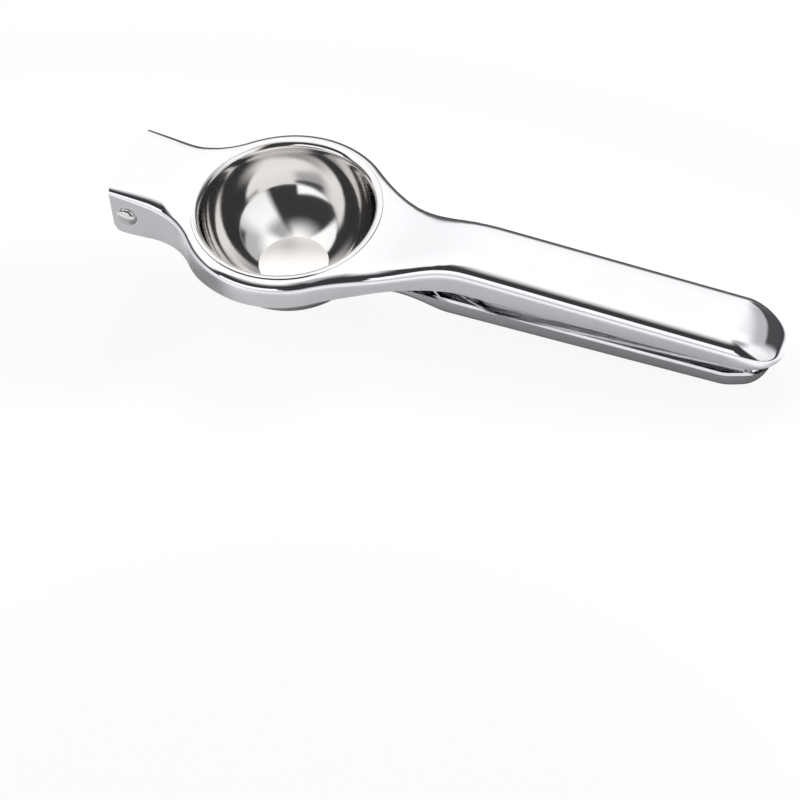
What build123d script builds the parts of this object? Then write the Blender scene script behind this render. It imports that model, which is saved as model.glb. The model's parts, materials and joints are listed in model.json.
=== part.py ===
from build123d import *
import math
import os

# Hinged lemon squeezer of pressed stainless sheet.
# Lengths are in millimetres. The pieces are drawn level and closed, with the centre of the
# press ring on the Z axis, the upper lever's plate on Z = 0 and the handles towards +X.
# At the end each piece is set down as the closed squeezer lies on a table.

# sheets and fits
arm_sheet = 1.1
cup_sheet = 1.0
hinge_gap = 0.4
ring_gap = 0.75
cup_gap = 0.6
pin_play = 0.05

# press bowl
bowl_radius = 27.7
bowl_floor_radius = 11.0
bowl_floor_bend = 3.0
bowl_lip = 0.3

# strainer cup
cup_drop = 2.7
cup_floor_radius = 13.3
cup_floor_bend = 2.0
hole_radius = 1.65
inner_hole_circle = 4.6
outer_hole_circle = 10.3

# upper lever in plan
ring_width = 4.7
hinge_half_width = 14.0
hinge_end = 53.4
hinge_end_bulge = 1.4
hinge_flare = 24.0
neck_flare = 71.0
handle_half_width = 10.45
tip_x = 160.0
nose_length = 11.5
nose_round = 2.2
nose_taper = 3.45
nose_bend = 10.0

# upper lever in side view
ring_skirt = 10.0
ear_depth = 15.8
ear_step = 47.0
ear_back_depth = 14.2
ear_front = 34.0
ring_back = 12.0
neck_skirt = 8.6
neck_skirt_start = 29.0
handle_skirt = 10.8
tip_skirt = 8.1
ear_corner = 2.6
rim_bend = 8.0
hinge_rise = 1.9
hinge_rise_start = 26.0
hinge_rise_end = 37.0
joggle_start = 37.0
joggle_end = 58.0
joggle_bend = 28.0
handle_rise = 7.7
tip_rise = 8.1
nose_radius = 12.0
face_bend = 3.0

# lower lever
lower_face = 11.3
lower_rim = 3.6
lower_skirt = 6.3
lower_neck_face = 15.2
lower_tip_face = 10.8
lower_bend_start = 38.0
lower_bend_end = 55.0
lower_bend_radius = 14.0
lower_rim_drop_start = 26.0
lower_rim_drop_end = 40.0
lower_neck_flare = 40.0
lower_handle_half_width = 10.45
lower_face_bend = 2.4
lower_hinge_end = 53.0
lower_hinge_flare = 12.0
lower_tip_x = 156.0
lower_nose_radius = 8.0
knuckle_radius = 4.7
knuckle_drop = 2.2

# hinge rivet
pin_x = -48.2
pin_z = -7.9
pin_radius = 2.0
rivet_head_radius = 3.3
rivet_head_height = 1.5
rivet_head_edge = 0.4

# the ring and the cup follow the bowl, and the lower lever nests inside the upper one
ring_radius = bowl_radius + ring_width
cup_radius = bowl_radius + cup_gap + cup_sheet
cup_centre = -bowl_lip - cup_drop
lower_ring_radius = ring_radius - arm_sheet - ring_gap
lower_hinge_half_width = hinge_half_width - arm_sheet - hinge_gap
far = 60.0
beyond = 20.0


def flare_arc(radius, flare, half, side):
    """Ends and middle of the concave arc from the ring to a straight side."""
    centre_x = side * math.sqrt((radius + flare) ** 2 - (half + flare) ** 2)
    centre = Vector(centre_x, half + flare)
    on_ring = centre * (radius / (radius + flare))
    on_side = Vector(centre_x, half)
    middle = centre + ((on_ring + on_side) * 0.5 - centre).normalized() * flare
    return on_ring, middle, on_side


def plan_outline(radius, back_half, back_end, bulge, flare, front_flare, front_half, nose_x):
    """Lever in plan: hinge strip, ring and handle strip, joined by concave flares."""
    nose_start = nose_x - nose_length
    back_ring, back_middle, back_side = flare_arc(radius, flare, back_half, -1)
    neck_ring, neck_middle, neck_side = flare_arc(radius, front_flare, front_half, 1)
    with BuildSketch(Plane.XY.offset(-far)) as outline:
        with BuildLine():
            ThreePointArc(
                (-back_end - bulge, 0),
                (-back_end - bulge * 0.75, back_half / 2),
                (-back_end, back_half),
            )
            Line((-back_end, back_half), back_side)
            ThreePointArc(back_side, back_middle, back_ring)
            ThreePointArc(back_ring, (0, radius), neck_ring)
            ThreePointArc(neck_ring, neck_middle, neck_side)
            FilletPolyline(
                neck_side,
                (nose_start, front_half),
                (nose_x - nose_round, front_half - nose_taper),
                (nose_x + 1.5, 0),
                radius=nose_bend,
            )
            mirror(about=Plane.XZ)
        make_face()
    return outline.sketch


def inside_outline(outline, back_half):
    """The same outline one sheet further in, open past the hinge end."""
    with BuildSketch(Plane.XY.offset(-far)) as inside:
        add(outline)
        offset(amount=-arm_sheet, kind=Kind.INTERSECTION)
        with Locations((-hinge_end - beyond / 2, 0)):
            Rectangle(2 * beyond, 2 * (back_half - arm_sheet))
    return inside.sketch


def pressed_solid(outline, side, bend, face_up):
    """Plan and side view intersected, with the edge between face and walls rounded."""
    with BuildPart() as solid:
        extrude(outline, amount=2 * far)
        extrude(side, amount=2 * far, mode=Mode.INTERSECT)
        face_edges = solid.edges().filter_by(
            lambda e: e.center().Z * face_up > -5
            and -hinge_end + 1.5 < e.center().X < lower_tip_x - 0.01
        )
        face_edges = face_edges.filter_by(lambda e: abs(e.center().Y) > 1)
        fillet(face_edges, radius=bend)
    return solid.part


# plan outlines of the two levers
press_outline = plan_outline(
    ring_radius,
    hinge_half_width,
    hinge_end,
    hinge_end_bulge,
    hinge_flare,
    neck_flare,
    handle_half_width,
    tip_x,
)
strainer_outline = plan_outline(
    lower_ring_radius,
    lower_hinge_half_width,
    lower_hinge_end,
    0.1,
    lower_hinge_flare,
    lower_neck_flare,
    lower_handle_half_width,
    lower_tip_x,
)

# upper lever in side view: hinge strip a little higher, ring plate, joggle up to the handle,
# rolled nose
with BuildSketch(Plane.XZ.offset(-far)) as press_side:
    with BuildLine():
        top = FilletPolyline(
            (-far - beyond, hinge_rise),
            (-hinge_rise_end, hinge_rise),
            (-hinge_rise_start, 0),
            (joggle_start, 0),
            (joggle_end, handle_rise),
            (tip_x - nose_radius, tip_rise),
            radius=joggle_bend,
        )
        nose = TangentArc(top @ 1, (tip_x, tip_rise - nose_radius), tangent=top % 1)
        Polyline(nose @ 1, (tip_x, -far + 10), (-far - beyond, -far + 10), top @ 0)
    make_face()

# its free edge: deep ears at the hinge, then the ring's and the handle's skirt
with BuildSketch(Plane.XZ.offset(-far)) as press_below:
    with BuildLine():
        Polyline(
            (-far - beyond, -far - beyond),
            (-far - beyond, -ear_depth),
            (-ear_step, -ear_depth),
            (-ear_front, -ear_back_depth),
            (-ring_back, -ring_skirt),
            (neck_skirt_start, -neck_skirt),
            (joggle_end + 2, handle_rise - handle_skirt),
            (tip_x, tip_rise - tip_skirt),
            (tip_x + beyond, tip_rise - tip_skirt),
            (tip_x + beyond, -far - beyond),
            close=True,
        )
    make_face()
    fillet(
        press_below.vertices().filter_by(lambda v: -ear_front - 1 < v.X < joggle_end + 10),
        radius=rim_bend,
    )

with BuildPart() as press_arm:
    add(pressed_solid(press_outline, press_side.sketch, face_bend, 1))
    with BuildSketch(Plane.XZ.offset(-far)) as press_side_inside:
        add(press_side.sketch)
        offset(amount=-arm_sheet, kind=Kind.INTERSECTION)
    press_inside = pressed_solid(
        inside_outline(press_outline, hinge_half_width),
        press_side_inside.sketch,
        face_bend - arm_sheet,
        1,
    )
    add(press_inside, mode=Mode.SUBTRACT)
    extrude(press_below.sketch, amount=2 * far, mode=Mode.SUBTRACT)
    fillet(
        press_arm.edges().filter_by(
            lambda e: e.center().X < -hinge_end + 1 and e.center().Z < -ear_depth + 0.1
        ),
        radius=ear_corner,
    )
    with Locations((0, 0, -arm_sheet)):
        Cylinder(bowl_radius, 3 * arm_sheet, mode=Mode.SUBTRACT)
    with Locations(Plane.XZ.shift_origin((pin_x, 0, pin_z))):
        Cylinder(pin_radius, 4 * hinge_half_width, mode=Mode.SUBTRACT)
press_arm.part.label = "press_arm"

# lower lever in side view: the face is underneath
with BuildSketch(Plane.XZ.offset(-far)) as strainer_side:
    with BuildLine():
        under = FilletPolyline(
            (-far - beyond, -lower_face),
            (lower_bend_start, -lower_face),
            (lower_bend_end, -lower_neck_face),
            (lower_tip_x - lower_nose_radius, -lower_tip_face),
            radius=lower_bend_radius,
        )
        under_nose = TangentArc(
            under @ 1, (lower_tip_x, lower_nose_radius - lower_tip_face), tangent=under % 1
        )
        Polyline(under_nose @ 1, (lower_tip_x, far - 10), (-far - beyond, far - 10), under @ 0)
    make_face()

with BuildSketch(Plane.XZ.offset(-far)) as strainer_above:
    with BuildLine():
        Polyline(
            (-far - beyond, far + beyond),
            (-far - beyond, -lower_rim),
            (lower_rim_drop_start, -lower_rim),
            (lower_rim_drop_end, lower_skirt - lower_neck_face),
            (lower_bend_end, lower_skirt - lower_neck_face),
            (lower_tip_x + beyond, lower_skirt - lower_tip_face),
            (lower_tip_x + beyond, far + beyond),
            close=True,
        )
    make_face()
    fillet(
        strainer_above.vertices().filter_by(lambda v: 0 < v.X < lower_bend_end + 1),
        radius=rim_bend,
    )

# the hinge walls end round about the pin, so the upper plate swings past them; the face below
# runs on to the end of the ears
with BuildSketch(Plane.XZ.offset(-far)) as behind_knuckle:
    with Locations((pin_x, pin_z - knuckle_drop)):
        Rectangle(far, far, align=(Align.MAX, Align.MIN))
    with Locations((pin_x, pin_z)):
        Circle(knuckle_radius, mode=Mode.SUBTRACT)

with BuildPart() as strainer_arm:
    add(pressed_solid(strainer_outline, strainer_side.sketch, lower_face_bend, -1))
    with BuildSketch(Plane.XZ.offset(-far)) as strainer_side_inside:
        add(strainer_side.sketch)
        offset(amount=-arm_sheet, kind=Kind.INTERSECTION)
    strainer_inside = pressed_solid(
        inside_outline(strainer_outline, lower_hinge_half_width),
        strainer_side_inside.sketch,
        lower_face_bend - arm_sheet,
        -1,
    )
    add(strainer_inside, mode=Mode.SUBTRACT)
    extrude(strainer_above.sketch, amount=2 * far, mode=Mode.SUBTRACT)
    extrude(behind_knuckle.sketch, amount=2 * far, mode=Mode.SUBTRACT)
    with Locations((0, 0, cup_centre)):
        Sphere(cup_radius, mode=Mode.SUBTRACT)
    with Locations(Plane.XZ.shift_origin((pin_x, 0, pin_z))):
        Cylinder(pin_radius + pin_play, 4 * hinge_half_width, mode=Mode.SUBTRACT)
strainer_arm.part.label = "strainer_arm"

# press bowl: a drawn cup whose collar fills the plate's hole
bowl_depth = math.sqrt(bowl_radius**2 - bowl_floor_radius**2)
bowl_floor = -bowl_lip - bowl_depth
with BuildPart() as press_bowl:
    with BuildSketch(Plane.XZ):
        with Locations((0, -bowl_lip)):
            Circle(bowl_radius)
        with Locations((0, bowl_floor)):
            Rectangle(2 * far, 2 * far, align=(Align.CENTER, Align.MIN), mode=Mode.INTERSECT)
        with Locations((0, bowl_lip)):
            Rectangle(2 * far, 2 * far, align=(Align.CENTER, Align.MAX), mode=Mode.INTERSECT)
        with Locations((0, bowl_lip)):
            Rectangle(2 * bowl_radius, 2 * bowl_lip, align=(Align.CENTER, Align.MAX))
        Rectangle(far, 2 * far, align=(Align.MIN, Align.CENTER), mode=Mode.INTERSECT)
    revolve(axis=Axis.Z)
    fillet(press_bowl.edges().group_by(Axis.Z)[0], radius=bowl_floor_bend)
    offset(amount=-cup_sheet, openings=press_bowl.faces().sort_by(Axis.Z)[-1])
press_bowl.part.label = "press_bowl"

# strainer cup: a drawn cup standing in the lower lever's ring, holes through its floor
cup_floor = cup_centre - math.sqrt(cup_radius**2 - cup_floor_radius**2)
with BuildPart() as strainer_cup:
    with BuildSketch(Plane.XZ):
        with Locations((0, cup_centre)):
            Circle(cup_radius)
        with Locations((0, cup_floor)):
            Rectangle(2 * far, 2 * far, align=(Align.CENTER, Align.MIN), mode=Mode.INTERSECT)
        with Locations((0, -lower_rim)):
            Rectangle(2 * far, 2 * far, align=(Align.CENTER, Align.MAX), mode=Mode.INTERSECT)
        Rectangle(far, 4 * far, align=(Align.MIN, Align.CENTER), mode=Mode.INTERSECT)
    revolve(axis=Axis.Z)
    fillet(strainer_cup.edges().group_by(Axis.Z)[0], radius=cup_floor_bend)
    offset(amount=-cup_sheet, openings=strainer_cup.faces().sort_by(Axis.Z)[-1])
    with Locations((0, 0, cup_floor)):
        with PolarLocations(outer_hole_circle, 8, start_angle=22.5):
            Cylinder(hole_radius, 4 * cup_sheet, mode=Mode.SUBTRACT)
        with PolarLocations(inner_hole_circle, 4):
            Cylinder(hole_radius, 4 * cup_sheet, mode=Mode.SUBTRACT)
strainer_cup.part.label = "strainer_cup"

# hinge rivet: one shank through both levers, a low domed head on each side
head_start = hinge_half_width
head_top = hinge_half_width + rivet_head_height
with BuildPart() as hinge_rivet:
    with BuildSketch(Plane(origin=(pin_x, 0, pin_z), x_dir=(0, 1, 0), z_dir=(1, 0, 0))):
        with BuildLine():
            dome = TangentArc(
                (head_top, 0), (head_start + rivet_head_edge, rivet_head_radius), tangent=(0, 1)
            )
            Polyline(dome @ 1, (head_start, rivet_head_radius), (head_start, pin_radius), (0, pin_radius))
            mirror(about=Plane.YZ)
            Line((-head_top, 0), (head_top, 0))
        make_face()
    revolve(axis=Axis((pin_x, 0, pin_z), (0, 1, 0)))
hinge_rivet.part.label = "hinge_rivet"

# resting attitude: the cup's floor bend and the lower handle's nose both touch the table
bend_x = math.sqrt((cup_radius - cup_floor_bend) ** 2 - (cup_floor + cup_floor_bend - cup_centre) ** 2)
bend_z = cup_floor + cup_floor_bend
nose_x = under_nose.arc_center.X
nose_z = under_nose.arc_center.Y
run = nose_x - bend_x
rise = nose_z - bend_z
lean = math.atan2(rise, run) - math.asin((under_nose.radius - cup_floor_bend) / math.hypot(run, rise))

pieces = [press_arm, press_bowl, strainer_arm, strainer_cup, hinge_rivet]
for piece in pieces:
    piece.part.locate(Location((0, 0, 0), (0, math.degrees(lean), 0)))
whole = Compound([piece.part for piece in pieces]).bounding_box()
setting = Location((-whole.center().X, 0, -whole.min.Z))
for piece in pieces:
    piece.part.locate(setting * piece.part.location)

os.makedirs("parts", exist_ok=True)
export_step(press_arm.part, "parts/press_arm.step")
export_step(press_bowl.part, "parts/press_bowl.step")
export_step(strainer_arm.part, "parts/strainer_arm.step")
export_step(strainer_cup.part, "parts/strainer_cup.step")
export_step(hinge_rivet.part, "parts/hinge_rivet.step")


def resting(x, y, z):
    """A drawn point as it lies in the resting part."""
    return (setting * Location((0, 0, 0), (0, math.degrees(lean), 0)) * Location((x, y, z))).position


for name, point in {
    "hinge pin": (pin_x, 0, pin_z),
    "cup floor": (0, 0, cup_floor),
    "bowl centre": (0, 0, -bowl_lip),
    "ring centre": (0, 0, 0),
}.items():
    print(name, [round(value, 3) for value in resting(*point)])
print("lean in degrees", round(math.degrees(lean), 4))
print("whole", whole.size)
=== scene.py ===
# Hinged lemon squeezer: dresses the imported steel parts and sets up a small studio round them.
import math
import json
import bpy
from mathutils import Matrix, Vector


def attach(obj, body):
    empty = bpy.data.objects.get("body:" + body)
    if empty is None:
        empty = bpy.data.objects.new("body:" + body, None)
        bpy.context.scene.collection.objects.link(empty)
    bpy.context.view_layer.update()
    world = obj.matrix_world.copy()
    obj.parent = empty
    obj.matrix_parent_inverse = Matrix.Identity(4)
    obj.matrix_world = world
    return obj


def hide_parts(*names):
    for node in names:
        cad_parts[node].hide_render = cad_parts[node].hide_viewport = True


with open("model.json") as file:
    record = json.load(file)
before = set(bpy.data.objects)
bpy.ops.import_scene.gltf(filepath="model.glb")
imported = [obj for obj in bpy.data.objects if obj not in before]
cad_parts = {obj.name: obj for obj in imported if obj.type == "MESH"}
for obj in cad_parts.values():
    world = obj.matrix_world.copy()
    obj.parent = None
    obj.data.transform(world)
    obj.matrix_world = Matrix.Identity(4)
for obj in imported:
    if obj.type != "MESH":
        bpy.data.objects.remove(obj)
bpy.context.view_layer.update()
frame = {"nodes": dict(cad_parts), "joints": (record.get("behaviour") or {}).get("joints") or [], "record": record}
nodes = frame["nodes"]
scene = bpy.context.scene


def pickNone():
    bpy.ops.object.select_all(action="DESELECT")


def pickOnly(piece):
    pickNone()
    piece.select_set(True)
    bpy.context.view_layer.objects.active = piece


# camera: its place and clip in metres, its turn in degrees, its lens and sensor in millimetres
camera = {
    "place": (0.386009, -0.574413, 0.682167),
    "turn": (43.02833, 10.69235, 24.66053),
    "lens": 144.551,
    "sensor": 36,
    "clip": (0.01, 30),
}


def makeCamera(look):
    pickNone()
    turn = [math.radians(angle) for angle in look["turn"]]
    bpy.ops.object.camera_add(location=look["place"], rotation=turn)
    cam = bpy.context.object
    cam.name = "studioCamera"
    cam.data.sensor_width = look["sensor"]
    cam.data.lens = look["lens"]
    cam.data.clip_start, cam.data.clip_end = look["clip"]
    scene.camera = cam


makeCamera(camera)
scene.view_settings.view_transform = "Standard"
print("camera set")


# node helpers: every socket is fed with a plain value or with another node's output
def addNode(tree, kind, feeds, **settings):
    node = tree.nodes.new(kind)
    for name, value in settings.items():
        setattr(node, name, value)
    for socket, source in feeds.items():
        if isinstance(source, bpy.types.NodeSocket):
            tree.links.new(source, node.inputs[socket])
        else:
            node.inputs[socket].default_value = source
    return node


def grey(tone):
    return (tone, tone, tone, 1)


def addRange(tree, value, span, onto=(0, 1), curve="LINEAR"):
    # carries a value from one span to another, and stops at the ends
    feeds = {"Value": value, "From Min": span[0], "From Max": span[1]}
    feeds |= {"To Min": onto[0], "To Max": onto[1]}
    return addNode(tree, "ShaderNodeMapRange", feeds, interpolation_type=curve).outputs[0]


def addProduct(tree, a, b):
    return addNode(tree, "ShaderNodeMath", {0: a, 1: b}, operation="MULTIPLY").outputs[0]


# a Mix node has sockets of the same name for each kind of value, so its colours go by number
firstColour, secondColour, mixedColour = 6, 7, 2


def addTint(tree, share, first, second, **settings):
    # from the first colour at a share of 0 to the second at 1
    feeds = {0: share, firstColour: first, secondColour: second}
    return addNode(tree, "ShaderNodeMix", feeds, data_type="RGBA", **settings).outputs[mixedColour]


# floor: a pale sheet on a darker table, nearly white to the camera, with painted shade in ovals round the
# squeezer;
# centres and reaches are metres, and a reach is half of an oval's length and width
floorLook = {
    "size": 6.0,
    "sheet": {"centre": (-0.05, -0.36, 0.0), "reach": (0.50, 0.44, 1.0), "edge": (0.95, 1.08)},
    "sheetColour": (0.86, 0.86, 0.87, 1),
    "tableColour": (0.05, 0.05, 0.055, 1),
    "whiteToCamera": 0.93,
    "paintedShadeEdge": (1.4, 0.6),
    # painted shade: these ovals darken the sheet under, beside and in front of the squeezer, for its shadow and
    # the darker floor seen in the steel
    "paintedShades": [
        {"centre": (0.02, -0.004, 0.0), "reach": (0.125, 0.019, 1.0), "tone": 0.5},
        {"centre": (-0.125, -0.038, 0.0), "reach": (0.05, 0.034, 1.0), "tone": 0.5},
        {"centre": (0.04, -0.19, 0.0), "reach": (0.13, 0.10, 1.0), "tone": 0.6},
    ],
}


def sheetOnTable(look):
    mat = bpy.data.materials.new("paleFloor")
    mat.use_nodes = True
    t = mat.node_tree
    t.nodes.clear()
    where = addNode(t, "ShaderNodeTexCoord", {}).outputs["Object"]

    def acrossOval(oval, edge):
        # how far out of the oval a place lies, where 1 is its outline, faded across the edge
        feeds = {"Vector": where, "Location": oval["centre"], "Scale": oval["reach"]}
        spot = addNode(t, "ShaderNodeMapping", feeds, vector_type="TEXTURE")
        far = addNode(t, "ShaderNodeVectorMath", {0: spot.outputs[0]}, operation="LENGTH")
        return addRange(t, far.outputs["Value"], edge, curve="SMOOTHSTEP")

    edge = acrossOval(look["sheet"], look["sheet"]["edge"])
    tint = addTint(t, edge, look["sheetColour"], look["tableColour"])
    # painted shade: the sheet is darkened in ovals close round and in front of the squeezer, standing in for its
    # shadow and for the darker floor the steel mirrors
    for shade in look["paintedShades"]:
        inside = acrossOval(shade, look["paintedShadeEdge"])
        tint = addTint(t, inside, tint, grey(shade["tone"]), blend_type="MULTIPLY")
    paint = addNode(t, "ShaderNodeBsdfDiffuse", {"Color": tint})
    white = addNode(t, "ShaderNodeEmission", {"Color": grey(1), "Strength": 1})
    # the camera sees mostly white on the sheet, and nothing but white past its edge
    cover = addRange(t, edge, (0, 1), onto=(look["whiteToCamera"], 1))
    seen = addNode(t, "ShaderNodeLightPath", {}).outputs["Is Camera Ray"]
    share = addProduct(t, seen, cover)
    mix = addNode(t, "ShaderNodeMixShader", {0: share, 1: paint.outputs[0], 2: white.outputs[0]})
    addNode(t, "ShaderNodeOutputMaterial", {"Surface": mix.outputs[0]})
    return mat


def makeFloor(look):
    pickNone()
    bpy.ops.mesh.primitive_plane_add(size=look["size"], location=(0, 0, 0))
    floor = bpy.context.object
    floor.name = "studioFloor"
    floor.data.materials.append(sheetOnTable(look))


makeFloor(floorLook)


# studio room: a bright room with soft boxes and dark walls, painted layer by layer;
# headings are degrees from +X towards +Y, heights are degrees over the table
studio = {
    "rise": [(-90, 0.4), (-10, 0.9), (20, 1.15), (60, 1.3), (90, 1.3)],
    "coolness": 1.03,
    "layers": {
        "rightHaze": {"heading": (-48, 8), "height": (50, 78), "soft": (14, 10), "light": 0.5},
        "backGrey": {"heading": (16, 84), "height": (10, 48), "soft": (14, 10), "light": 0.6},
        "backRightLow": {"heading": (26, 90), "height": (-91, 27), "soft": (6, 3), "light": 0.09},
        "backLow": {"heading": (74, 182), "height": (-91, 16), "soft": (8, 7), "light": 0.16},
        "nearDark": {"heading": (-146, -34), "height": (-91, 68), "soft": (6, 16), "light": 0.05},
        "leftLow": {"heading": (-190, -140), "height": (12, 34), "soft": (6, 7), "light": 0.08},
        "nearHorizon": {"heading": (-150, -72), "height": (-91, 12), "soft": (4, 3), "light": 1.2},
        "leftBox": {"heading": (-132, -75), "height": (8, 26), "soft": (2, 2), "light": 1.3},
    },
}
# lights are painted at half their strength, to stay under 1 on the ramp, and the world doubles them
headroom = 2


def fillRamp(ramp, stops):
    # stops: how far along the ramp, and how light
    elements = ramp.color_ramp.elements
    elements.remove(elements[-1])
    for i, (place, light) in enumerate(stops):
        stop = elements.new(place) if i else elements[0]
        stop.position = place
        stop.color = grey(light)


def makeStudio(look):
    world = bpy.data.worlds.new("studio")
    scene.world = world
    world.use_nodes = True
    t = world.node_tree
    t.nodes.clear()
    where = addNode(t, "ShaderNodeTexCoord", {}).outputs["Generated"]
    way = addNode(t, "ShaderNodeSeparateXYZ", {0: where}).outputs
    around = addNode(t, "ShaderNodeMath", {0: way["Y"], 1: way["X"]}, operation="ARCTAN2")
    up = addNode(t, "ShaderNodeMath", {0: way["Z"]}, operation="ARCSINE")
    heading = addNode(t, "ShaderNodeMath", {0: around.outputs[0]}, operation="DEGREES").outputs[0]
    height = addNode(t, "ShaderNodeMath", {0: up.outputs[0]}, operation="DEGREES").outputs[0]

    def between(value, low, high, soft):
        # 1 from low to high, fading across each end
        rise = addRange(t, value, (low - soft, low + soft), curve="SMOOTHSTEP")
        fall = addRange(t, value, (high + soft, high - soft), curve="SMOOTHSTEP")
        return addProduct(t, rise, fall)

    ramp = addNode(t, "ShaderNodeValToRGB", {0: addRange(t, height, (-90, 90))})
    fillRamp(ramp, [((angle + 90) / 180, light / headroom) for angle, light in look["rise"]])
    last = ramp.outputs["Color"]
    for name, layer in look["layers"].items():
        wide = between(heading, *layer["heading"], layer["soft"][0])
        tall = between(height, *layer["height"], layer["soft"][1])
        light = layer["light"] / headroom
        colour = (light, light, light * look["coolness"], 1)
        last = addTint(t, addProduct(t, wide, tall), last, colour, label=name)
    glow = addNode(t, "ShaderNodeBackground", {"Color": last, "Strength": headroom})
    white = addNode(t, "ShaderNodeBackground", {"Color": grey(1), "Strength": 1})
    seen = addNode(t, "ShaderNodeLightPath", {}).outputs["Is Camera Ray"]
    mix = addNode(t, "ShaderNodeMixShader", {0: seen, 1: glow.outputs[0], 2: white.outputs[0]})
    addNode(t, "ShaderNodeOutputWorld", {"Surface": mix.outputs[0]})


makeStudio(studio)


# one lamp behind the squeezer throws its shadow forward, and doesn't show in the steel
softBack = {"place": (-0.1, 0.8, 0.75), "aim": (0, 0, 0), "size": 0.4, "power": 12}


def makeLamp(name, look):
    pickNone()
    bpy.ops.object.light_add(type="AREA", location=look["place"])
    lamp = bpy.context.object
    lamp.name = name
    lamp.data.shape = "DISK"
    lamp.data.size = look["size"]
    lamp.data.energy = look["power"]
    beam = Vector(look["aim"]) - Vector(look["place"])
    lamp.rotation_euler = beam.to_track_quat("-Z", "Y").to_euler()
    lamp.visible_glossy = False


makeLamp("softBack", softBack)
print("studio lit")


# steel: near mirror, with faint clouds of wear and the fine drift of the polishing wheel;
# all finishes share these, with depths and the disc's soft edge in metres
polish = {
    "cloudDetail": 4, "cloudSpan": (0.35, 0.75), "lineDetail": 3, "lineDepth": 0.0001,
    "waveDetail": 1, "waveDepth": 0.001, "discEdge": 0.0001,
}


def polishedSteel(name, look):
    mat = bpy.data.materials.new(name)
    mat.use_nodes = True
    t = mat.node_tree
    t.nodes.clear()
    where = addNode(t, "ShaderNodeTexCoord", {}).outputs["Object"]

    def addNoise(vector, scale, detail):
        feeds = {"Vector": vector, "Scale": scale, "Detail": detail}
        return addNode(t, "ShaderNodeTexNoise", feeds).outputs[0]

    # clouds: where the polish has dulled a little from handling
    clouds = addNoise(where, look["cloudScale"], polish["cloudDetail"])
    rough = addRange(t, clouds, polish["cloudSpan"], onto=look["roughness"])
    tint = addTint(t, clouds, look["colour"], look["worn"])
    if "satin" in look:
        # a flat disc that the press left satin
        satin = look["satin"]
        away = addNode(t, "ShaderNodeVectorMath", {0: where, 1: satin["centre"]}, operation="DISTANCE")
        edge = (satin["radius"] + polish["discEdge"], satin["radius"] - polish["discEdge"])
        disc = addRange(t, away.outputs["Value"], edge)
        rough = addRange(t, disc, (0, 1), onto=(rough, satin["roughness"]))
        tint = addTint(t, disc, tint, satin["colour"])
    # a slow wave of the pressed sheet, and fine lines drawn out by the wheel
    wave = addNoise(where, look["waveScale"], polish["waveDetail"])
    feeds = {"Height": wave, "Strength": look["wave"], "Distance": polish["waveDepth"]}
    slow = addNode(t, "ShaderNodeBump", feeds)
    drawn = addNode(t, "ShaderNodeMapping", {"Vector": where, "Scale": look["drift"]})
    lines = addNoise(drawn.outputs[0], 1, polish["lineDetail"])
    feeds = {"Height": lines, "Strength": look["lines"], "Distance": polish["lineDepth"]}
    fine = addNode(t, "ShaderNodeBump", feeds | {"Normal": slow.outputs[0]})
    feeds = {"Metallic": 1, "Base Color": tint, "Roughness": rough, "Normal": fine.outputs[0]}
    skin = addNode(t, "ShaderNodeBsdfPrincipled", feeds)
    addNode(t, "ShaderNodeOutputMaterial", {"Surface": skin.outputs[0]})
    return mat


leverLook = {
    "colour": (0.805, 0.805, 0.83, 1), "worn": (0.765, 0.765, 0.785, 1), "roughness": (0.035, 0.07),
    "cloudScale": 60, "drift": (60, 1400, 1400), "lines": 0.03, "waveScale": 45, "wave": 0.03,
}
cupLook = {
    "colour": (0.80, 0.79, 0.785, 1), "worn": (0.76, 0.74, 0.72, 1), "roughness": (0.06, 0.12),
    "cloudScale": 90, "drift": (900, 900, 120), "lines": 0.05, "waveScale": 60, "wave": 0.05,
}
rivetLook = {
    "colour": (0.72, 0.71, 0.70, 1), "worn": (0.62, 0.61, 0.60, 1), "roughness": (0.10, 0.18),
    "cloudScale": 500, "drift": (2500, 2500, 2500), "lines": 0.05, "waveScale": 300, "wave": 0.02,
}
leverSteel = polishedSteel("leverSteel", leverLook)
cupSteel = polishedSteel("cupSteel", cupLook)
rivetSteel = polishedSteel("rivetSteel", rivetLook)
print("steel mixed")


# level frame: the squeezer lies tilted, so its pieces are worked out level, in millimetres, from
# the centre of the upper ring; it leans as the cup's floor does, and the rivet says where it lies
perMetre = 1000
rivetFromRing = Vector((-48.2, 0.0, -7.9))
rivetPlace = Vector(frame["joints"][0]["pos_m"]) * perMetre
floorAxis = frame["record"]["mounts"][0]["axis"]
lean = Matrix.Rotation(math.atan2(-floorAxis[0], -floorAxis[2]), 3, "Y")
ringCentre = rivetPlace - lean @ rivetFromRing
# in metres: corners closer than weldReach are joined, edges shorter than sliverReach are dissolved
weldReach = 0.000004
sliverReach = 0.0000005


def fromLevel(place):
    return (lean @ Vector(place) + ringCentre) / perMetre


def smooth(share):
    # from 0 to 1, level at both ends
    return share * share * (3 - 2 * share)


def stretch(table, x):
    # straight runs between the table's points
    if x <= table[0][0]:
        return table[0][1]
    for (x0, v0), (x1, v1) in zip(table, table[1:]):
        if x <= x1:
            return v0 + (v1 - v0) * (x - x0) / (x1 - x0)
    return table[-1][1]


def rounded(table, x, reach):
    # the same with its corners rounded: a weighted mean over a reach to both sides
    weights = {-1: 1, -0.5: 2, 0: 3, 0.5: 2, 1: 1}
    return sum(stretch(table, x + reach * k) * w for k, w in weights.items()) / sum(weights.values())


def gridPiece(name, along, across, place):
    # a primitive grid whose corners are carried to their places, one by one
    pickNone()
    bpy.ops.mesh.primitive_grid_add(x_subdivisions=along, y_subdivisions=across, size=1)
    piece = bpy.context.object
    piece.name = name
    for corner in piece.data.vertices:
        i = round((corner.co.x + 0.5) * along)
        j = round((corner.co.y + 0.5) * across)
        corner.co = fromLevel(place(i, j))
    return piece


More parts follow.
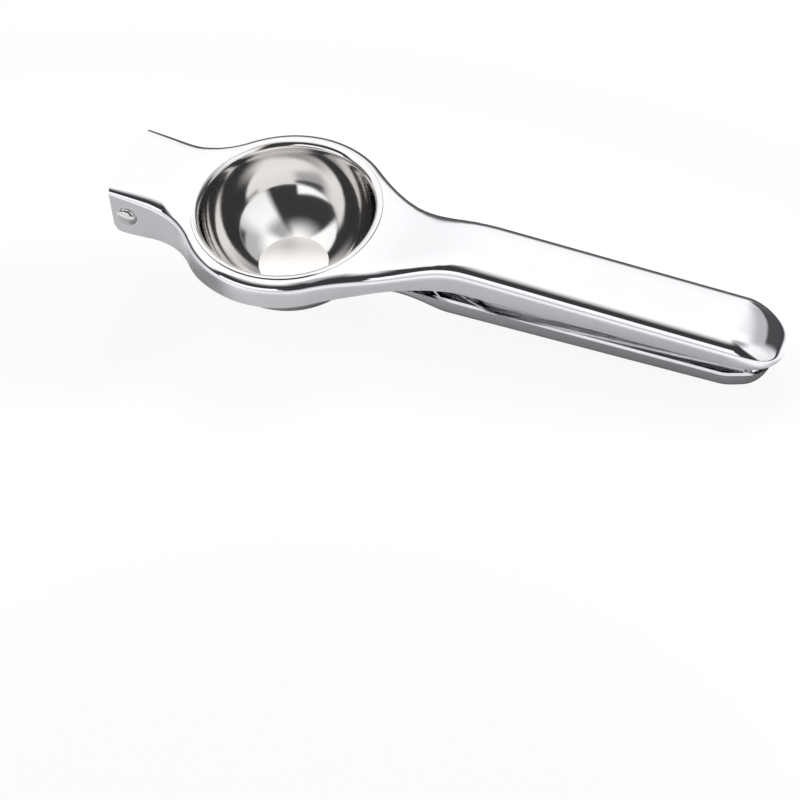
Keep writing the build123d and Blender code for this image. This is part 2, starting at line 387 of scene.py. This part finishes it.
def closeUp(piece):
    # joins the seam and the poles, and turns every face the same way
    pickOnly(piece)
    bpy.ops.object.mode_set(mode="EDIT")
    bpy.ops.mesh.select_all(action="SELECT")
    bpy.ops.mesh.remove_doubles(threshold=weldReach)
    bpy.ops.mesh.dissolve_degenerate(threshold=sliverReach)
    bpy.ops.mesh.normals_make_consistent(inside=False)
    bpy.ops.object.mode_set(mode="OBJECT")


def smoothOver(piece, degrees):
    pickOnly(piece)
    bpy.ops.object.shade_smooth_by_angle(angle=math.radians(degrees))


def settle(piece, mat, body, node):
    piece.data.materials.clear()
    piece.data.materials.append(mat)
    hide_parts(node)
    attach(piece, body)
    print(piece.name, len(piece.data.polygons), "faces")


# upper lever: one sheet, drawn down at its edge over a soft shoulder into the skirt. Along it,
# plate is the height of its top, lift what is added to that, rim the height of the skirt's lower
# edge, and shoulder the length of the bend, which turns from level to upright as shoulderTurn says
upperLever = {
    "sheet": 1.1,
    "ring": 32.39,
    "hole": 27.8,
    "leastPlate": 0.02,
    "hinge": {"half": 14.4, "flare": 24.0, "end": -53.4, "bulge": 1.4, "bulgeFrom": -45, "corner": 2.6},
    "handle": {"half": 11.3, "flare": 71.0},
    "plate": [(-90, 1.9), (-37, 1.9), (-26, 0.0), (37, 0.0), (58, 7.7), (148, 8.1), (170, 8.2)],
    "plateRound": 8.0,
    "lift": [(-60, -0.01), (34, -0.01), (60, 0.6), (170, 0.6)],
    "liftRound": 8.0,
    "rim": [
        (-60, -15.8), (-47, -15.8), (-34, -14.2), (-12, -10), (29, -8.6), (60, -2.7), (150, 0.2), (160, 0),
    ],
    "rimRound": 4.0,
    "shoulder": [(-54, 4.6), (-36, 8.6), (-26, 6.0), (19, 6.0), (36, 8.0), (50, 9.4), (170, 9.4)],
    "shoulderTurn": [(0, 0), (0.25, 8), (0.6, 38), (1, 90)],
    "nose": {"start": 143.5, "tip": 159.3, "plan": 2.5, "side": 0.94, "archFall": 0.75},
    "segments": {"plate": 6, "shoulder": 18, "skirt": 5},
    "neckEnd": 62,
    "stations": {"hinge": 24, "ring": 56, "neck": 30, "handle": 21, "nose": 22},
    "sharpOver": 40,
}


def insetOutline(look, x, inset):
    # how far out the outline lies at x, moved in by inset: ring, concave flare or straight strip
    ring = look["ring"] - inset
    strip = look["hinge"] if x < 0 else look["handle"]
    half, flare = strip["half"], strip["flare"]
    flareX = math.sqrt((look["ring"] + flare) ** 2 - (half + flare) ** 2)
    flareY = half + flare
    far = abs(x)
    if far >= flareX:
        return half - inset
    if far < ring:
        y = math.sqrt(ring * ring - far * far)
        if y * flareX >= far * flareY:
            return y
    return flareY - math.sqrt(max((flare + inset) ** 2 - (far - flareX) ** 2, 0.0))


def shoulderLine(turns, pieces):
    # a shoulder of length 1, from plate to wall: how far in from the wall and how far down
    finePerPiece = 40
    fine = finePerPiece * pieces
    inward, down, line = 0.0, 0.0, [(0.0, 0.0)]
    for k in range(fine):
        angle = math.radians(stretch(turns, (k + 0.5) / fine))
        inward += math.cos(angle) / fine
        down += math.sin(angle) / fine
        if (k + 1) % finePerPiece == 0:
            line.append((inward, down))
    return [(inward - a, b) for a, b in line]


def fallOff(share, side):
    # from 1 in the middle to 0 at the rim, as a slice of a circle falls
    foot = math.sqrt(1 - side ** 2)
    return (math.sqrt(1 - (side * share) ** 2) - foot) / (1 - foot)


def leverStations(look):
    # places along the lever, closest round the hole and at the nose
    end, hole, neck = look["hinge"]["end"], look["hole"], look["neckEnd"]
    start, tip = look["nose"]["start"], look["nose"]["tip"]
    count = look["stations"]
    xs = [end + (-hole - end) * k / count["hinge"] for k in range(count["hinge"])]
    xs += [-hole * math.cos(math.pi * k / count["ring"]) for k in range(count["ring"] + 1)]
    xs += [hole + (neck - hole) * k / count["neck"] for k in range(1, count["neck"] + 1)]
    xs += [neck + (start - neck) * k / count["handle"] for k in range(1, count["handle"] + 1)]
    for k in range(1, count["nose"] + 1):
        xs.append(start + (tip - start) * math.sin(math.pi / 2 * k / count["nose"]))
    return xs


def leverSection(look, line, x, j):
    # half a section, out and up: j runs from 0 at the middle or the hole to the free edge
    count = look["segments"]
    hinge = look["hinge"]
    size = stretch(look["shoulder"], x)
    top = rounded(look["plate"], x, look["plateRound"]) + rounded(look["lift"], x, look["liftRound"])
    rim = rounded(look["rim"], x, look["rimRound"])
    toCorner = hinge["corner"] - (x - hinge["end"])
    if toCorner > 0:
        rim += hinge["corner"] - math.sqrt(hinge["corner"] ** 2 - toCorner ** 2)
    inner = math.sqrt(look["hole"] ** 2 - x * x) if abs(x) < look["hole"] else 0.0
    least = inner + look["leastPlate"]
    if j <= count["plate"]:
        outer = max(insetOutline(look, x, line[0][0] * size), least)
        return inner + (outer - inner) * j / count["plate"], top
    j -= count["plate"]
    if j <= count["shoulder"]:
        inset, down = line[j]
        return max(insetOutline(look, x, inset * size), least), top - down * size
    low = top - line[-1][1] * size
    return insetOutline(look, x, 0), low + (rim - low) * (j - count["shoulder"]) / count["skirt"]


def noseSection(look, line, x, j):
    # the section shrinks towards the tip and turns from a box into an arch
    nose = look["nose"]
    across = sum(look["segments"].values())
    y, z = leverSection(look, line, nose["start"], j)
    half = leverSection(look, line, nose["start"], across)[0]
    top = leverSection(look, line, nose["start"], 0)[1]
    base = rounded(look["rim"], nose["start"], look["rimRound"])
    rim = rounded(look["rim"], x, look["rimRound"])
    far = (x - nose["start"]) / (nose["tip"] - nose["start"])
    turn = math.pi / 2 * (j / across)
    arch = base + (top - base) * max(math.cos(turn), 0.0) ** nose["archFall"]
    y += (half * math.sin(turn) - y) * smooth(far)
    z += (arch - z) * smooth(far)
    y *= max(1 - far ** nose["plan"], 0.0) ** (1 / nose["plan"])
    return y, rim + (z - base) * fallOff(far, nose["side"])


def makeUpperLever(look):
    xs = leverStations(look)
    line = shoulderLine(look["shoulderTurn"], look["segments"]["shoulder"])
    hinge = look["hinge"]

    def place(i, j):
        x = xs[i]
        section = leverSection if x <= look["nose"]["start"] else noseSection
        y, z = section(look, line, x, j)
        if x < hinge["bulgeFrom"]:
            # the hinge's end is bowed a little
            share = (x - hinge["bulgeFrom"]) / (hinge["end"] - hinge["bulgeFrom"])
            x -= hinge["bulge"] * share * max(1 - (y / hinge["half"]) ** 2, 0)
        return (x, -y, z)

    piece = gridPiece("upperLever", len(xs) - 1, sum(look["segments"].values()), place)
    mirror = piece.modifiers.new("otherHalf", "MIRROR")
    mirror.use_axis = (False, True, False)
    mirror.merge_threshold = weldReach
    bpy.ops.object.modifier_apply(modifier="otherHalf")
    closeUp(piece)
    # an open sheet has no inside, so its faces are turned to look up
    if sum(face.normal.z * face.area for face in piece.data.polygons) < 0:
        bpy.ops.object.mode_set(mode="EDIT")
        bpy.ops.mesh.select_all(action="SELECT")
        bpy.ops.mesh.flip_normals()
        bpy.ops.object.mode_set(mode="OBJECT")
    wall = piece.modifiers.new("sheet", "SOLIDIFY")
    wall.thickness = look["sheet"] / perMetre
    wall.offset = -1
    wall.use_even_offset = False
    bpy.ops.object.modifier_apply(modifier="sheet")
    smoothOver(piece, look["sharpOver"])
    return piece


settle(makeUpperLever(upperLever), leverSteel, "press_lever", "press_arm")


# press bowl: a spun shell with a narrow rolled lip on the ring plate;
# short says how much of a wall's turn, in radians, is left for the corner at the floor
pressBowl = {
    "inner": 26.7, "sheet": 1.0, "centre": -0.3, "floor": -24.72,
    "lip": {"radius": 29.3, "top": 0.3, "under": 0.02, "edge": 0.12, "roll": 2.1, "steps": 8},
    "inside": {"short": 0.01, "steps": 44},
    "outside": {"short": 0.035, "steps": 30},
    "heel": [(0.9, 0.0), (0.25, 0.16)],
    "around": 120,
    "sharpOver": 18,
}
# the bowl's flat floor is satin, and the rest of it is polished as the cup is
satinFloor = {
    "centre": fromLevel((0, 0, pressBowl["floor"])), "radius": 10.9 / perMetre,
    "roughness": 0.26, "colour": (0.95, 0.93, 0.91, 1),
}
bowlSteel = polishedSteel("bowlSteel", cupLook | {"satin": satinFloor})


def roundWall(centre, radius, top, floor, wall):
    # the wall follows a ball from its top to just short of the floor; edge is the floor's radius
    edge = math.sqrt(radius ** 2 - (floor - centre) ** 2)
    start = math.asin((centre - top) / radius)
    end = math.atan2(centre - floor, edge) - wall["short"]
    points = []
    for k in range(1, wall["steps"] + 1):
        turn = start + (end - start) * k / wall["steps"]
        points.append((radius * math.cos(turn), centre - radius * math.sin(turn)))
    return points, edge


def bowlLine(look):
    # from the lip's foot over the roll and down the inside to the floor, then back up the outside
    inner, centre, floor, lip = look["inner"], look["centre"], look["floor"], look["lip"]
    line = [(lip["radius"], lip["under"]), (lip["radius"], lip["top"] - lip["edge"])]
    line.append((lip["radius"] - lip["edge"], lip["top"]))
    for k in range(lip["steps"] + 1):
        turn = math.pi / 2 * k / lip["steps"]
        outward, down = 1 - math.sin(turn), 1 - math.cos(turn)
        line.append((inner + lip["roll"] * outward, lip["top"] - lip["roll"] * down))
    inside, edge = roundWall(centre, inner, lip["top"] - lip["roll"], floor, look["inside"])
    line += inside + [(edge, floor), (edge / 2, floor), (0.0, floor)]
    outer = inner + look["sheet"]
    under = floor - look["sheet"]
    outside, edge = roundWall(centre, outer, centre, under, look["outside"])
    line += [(0.0, under), (edge / 2, under)]
    line += [(edge - inward, under + rise) for inward, rise in look["heel"]]
    line += outside[::-1] + [(outer, centre), (outer, lip["under"]), (lip["radius"], lip["under"])]
    return line


def makeBowl(look):
    line = bowlLine(look)

    def place(i, j):
        turn = 2 * math.pi * i / look["around"]
        r, z = line[j]
        return (r * math.cos(turn), r * math.sin(turn), z)

    piece = gridPiece("pressBowl", look["around"], len(line) - 1, place)
    closeUp(piece)
    smoothOver(piece, look["sharpOver"])
    return piece


settle(makeBowl(pressBowl), bowlSteel, "press_lever", "press_bowl")


# hinge rivet: a shank across the ears with a low domed head on each side
hingeRivet = {
    "ear": 14.38, "clear": 0.02, "shank": 2.0,
    "head": 3.3, "height": 1.75, "edge": 0.2, "undercut": 0.08, "steps": 10,
    "around": 64,
    "sharpOver": 40,
}


def rivetLine(look):
    # from the top of one head over the shank to the top of the other: how far out and how far along
    foot = look["ear"] + look["clear"]
    half = [(0.0, look["ear"] + look["height"])]
    for k in range(1, look["steps"] + 1):
        turn = math.pi / 2 * k / look["steps"]
        rise = look["edge"] + (look["height"] - look["edge"]) * math.cos(turn)
        half.append((look["head"] * math.sin(turn), look["ear"] + rise))
    half += [(look["head"] - look["undercut"], foot), (look["shank"], foot)]
    return half + [(r, -y) for r, y in half[::-1]]


def makeRivet(look):
    line = rivetLine(look)

    def place(i, j):
        turn = 2 * math.pi * i / look["around"]
        r, y = line[j]
        return (rivetFromRing.x + r * math.cos(turn), y, rivetFromRing.z + r * math.sin(turn))

    piece = gridPiece("hingeRivet", look["around"], len(line) - 1, place)
    closeUp(piece)
    smoothOver(piece, look["sharpOver"])
    return piece


settle(makeRivet(hingeRivet), rivetSteel, "press_lever", "hinge_rivet")


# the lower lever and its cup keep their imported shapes
for name, mat in (("strainer_arm", leverSteel), ("strainer_cup", cupSteel)):
    nodes[name].data.materials.clear()
    nodes[name].data.materials.append(mat)
print("steel dressed")
